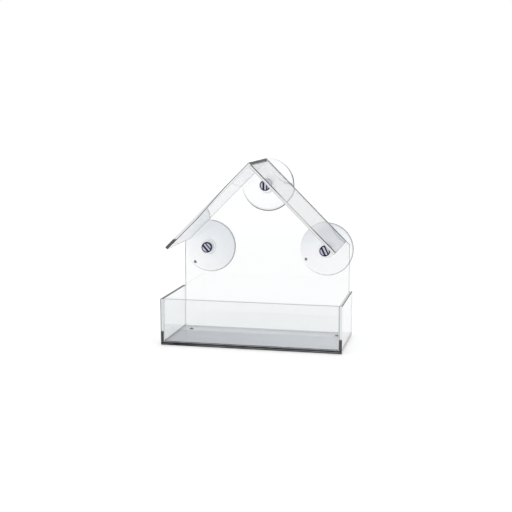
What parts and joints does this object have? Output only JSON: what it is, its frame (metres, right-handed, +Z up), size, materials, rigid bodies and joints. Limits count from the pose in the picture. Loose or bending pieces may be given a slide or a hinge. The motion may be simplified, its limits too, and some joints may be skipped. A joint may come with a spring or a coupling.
{
  "type": "window bird feeder",
  "caption": "Clear house-shaped bird feeder tray with a pitched roof, held to window glass by screwed suction cups.",
  "frame": {"origin": "centre of the tray floor's underside", "axes": "+X to the right of someone facing the window, +Y towards the window glass, +Z up"},
  "size_m": [0.15, 0.0757, 0.151],
  "materials": {
    "clear_acrylic": "clear, polished faces and darker cut edges",
    "clear_soft_pvc": "clear, moulded, slightly tacky",
    "clear_nylon": "clear, moulded",
    "brass": "turned",
    "bright_chrome": "bright plated"
  },
  "bodies": {
    "feeder": {"tray_floor": "clear_acrylic", "tray_front": "clear_acrylic", "tray_left_side": "clear_acrylic", "tray_right_side": "clear_acrylic", "back_panel": "clear_acrylic", "left_roof_panel": "clear_acrylic", "right_roof_panel": "clear_acrylic"},
    "washer_left": {"screw_washer_left": "clear_nylon"},
    "washer_right": {"screw_washer_right": "clear_nylon"},
    "washer_top": {"screw_washer_top": "clear_nylon"},
    "screw_left": {"slotted_screw_left": "bright_chrome"},
    "screw_right": {"slotted_screw_right": "bright_chrome"},
    "screw_top": {"slotted_screw_top": "bright_chrome"},
    "cup_left": {"suction_cup_left": "clear_soft_pvc", "threaded_insert_left": "brass"},
    "cup_right": {"suction_cup_right": "clear_soft_pvc", "threaded_insert_right": "brass"},
    "cup_top": {"suction_cup_top": "clear_soft_pvc", "threaded_insert_top": "brass"}
  },
  "joints": [
    {"name": "fixing_left_swivel", "type": "hinge", "parent": "feeder", "child": "washer_left", "pos_m": [-0.0517, 0.033, 0.0733], "axis": [0, -1, 0], "continuous": true},
    {"name": "fixing_right_swivel", "type": "hinge", "parent": "feeder", "child": "washer_right", "pos_m": [0.0517, 0.033, 0.0733], "axis": [0, -1, 0], "continuous": true},
    {"name": "fixing_top_swivel", "type": "hinge", "parent": "feeder", "child": "washer_top", "pos_m": [0, 0.033, 0.128], "axis": [0, -1, 0], "continuous": true},
    {"name": "screw_left_turn", "type": "hinge", "parent": "washer_left", "child": "screw_left", "pos_m": [-0.0517, 0.033, 0.0733], "axis": [0, -1, 0], "range_deg": [0, 1080]},
    {"name": "screw_right_turn", "type": "hinge", "parent": "washer_right", "child": "screw_right", "pos_m": [0.0517, 0.033, 0.0733], "axis": [0, -1, 0], "range_deg": [0, 1080]},
    {"name": "screw_top_turn", "type": "hinge", "parent": "washer_top", "child": "screw_top", "pos_m": [0, 0.033, 0.128], "axis": [0, -1, 0], "range_deg": [0, 1080]},
    {"name": "cup_left_draw", "type": "slide", "parent": "washer_left", "child": "cup_left", "axis": [0, 1, 0], "range_m": [0, 0.0021]},
    {"name": "cup_right_draw", "type": "slide", "parent": "washer_right", "child": "cup_right", "axis": [0, 1, 0], "range_m": [0, 0.0021]},
    {"name": "cup_top_draw", "type": "slide", "parent": "washer_top", "child": "cup_top", "axis": [0, 1, 0], "range_m": [0, 0.0021]}
  ],
  "couplings": [
    {"joint": "screw_left_turn", "follows": "cup_left_draw", "rad_per_m": 8975.9},
    {"joint": "screw_right_turn", "follows": "cup_right_draw", "rad_per_m": 8975.9},
    {"joint": "screw_top_turn", "follows": "cup_top_draw", "rad_per_m": 8975.9}
  ]
}
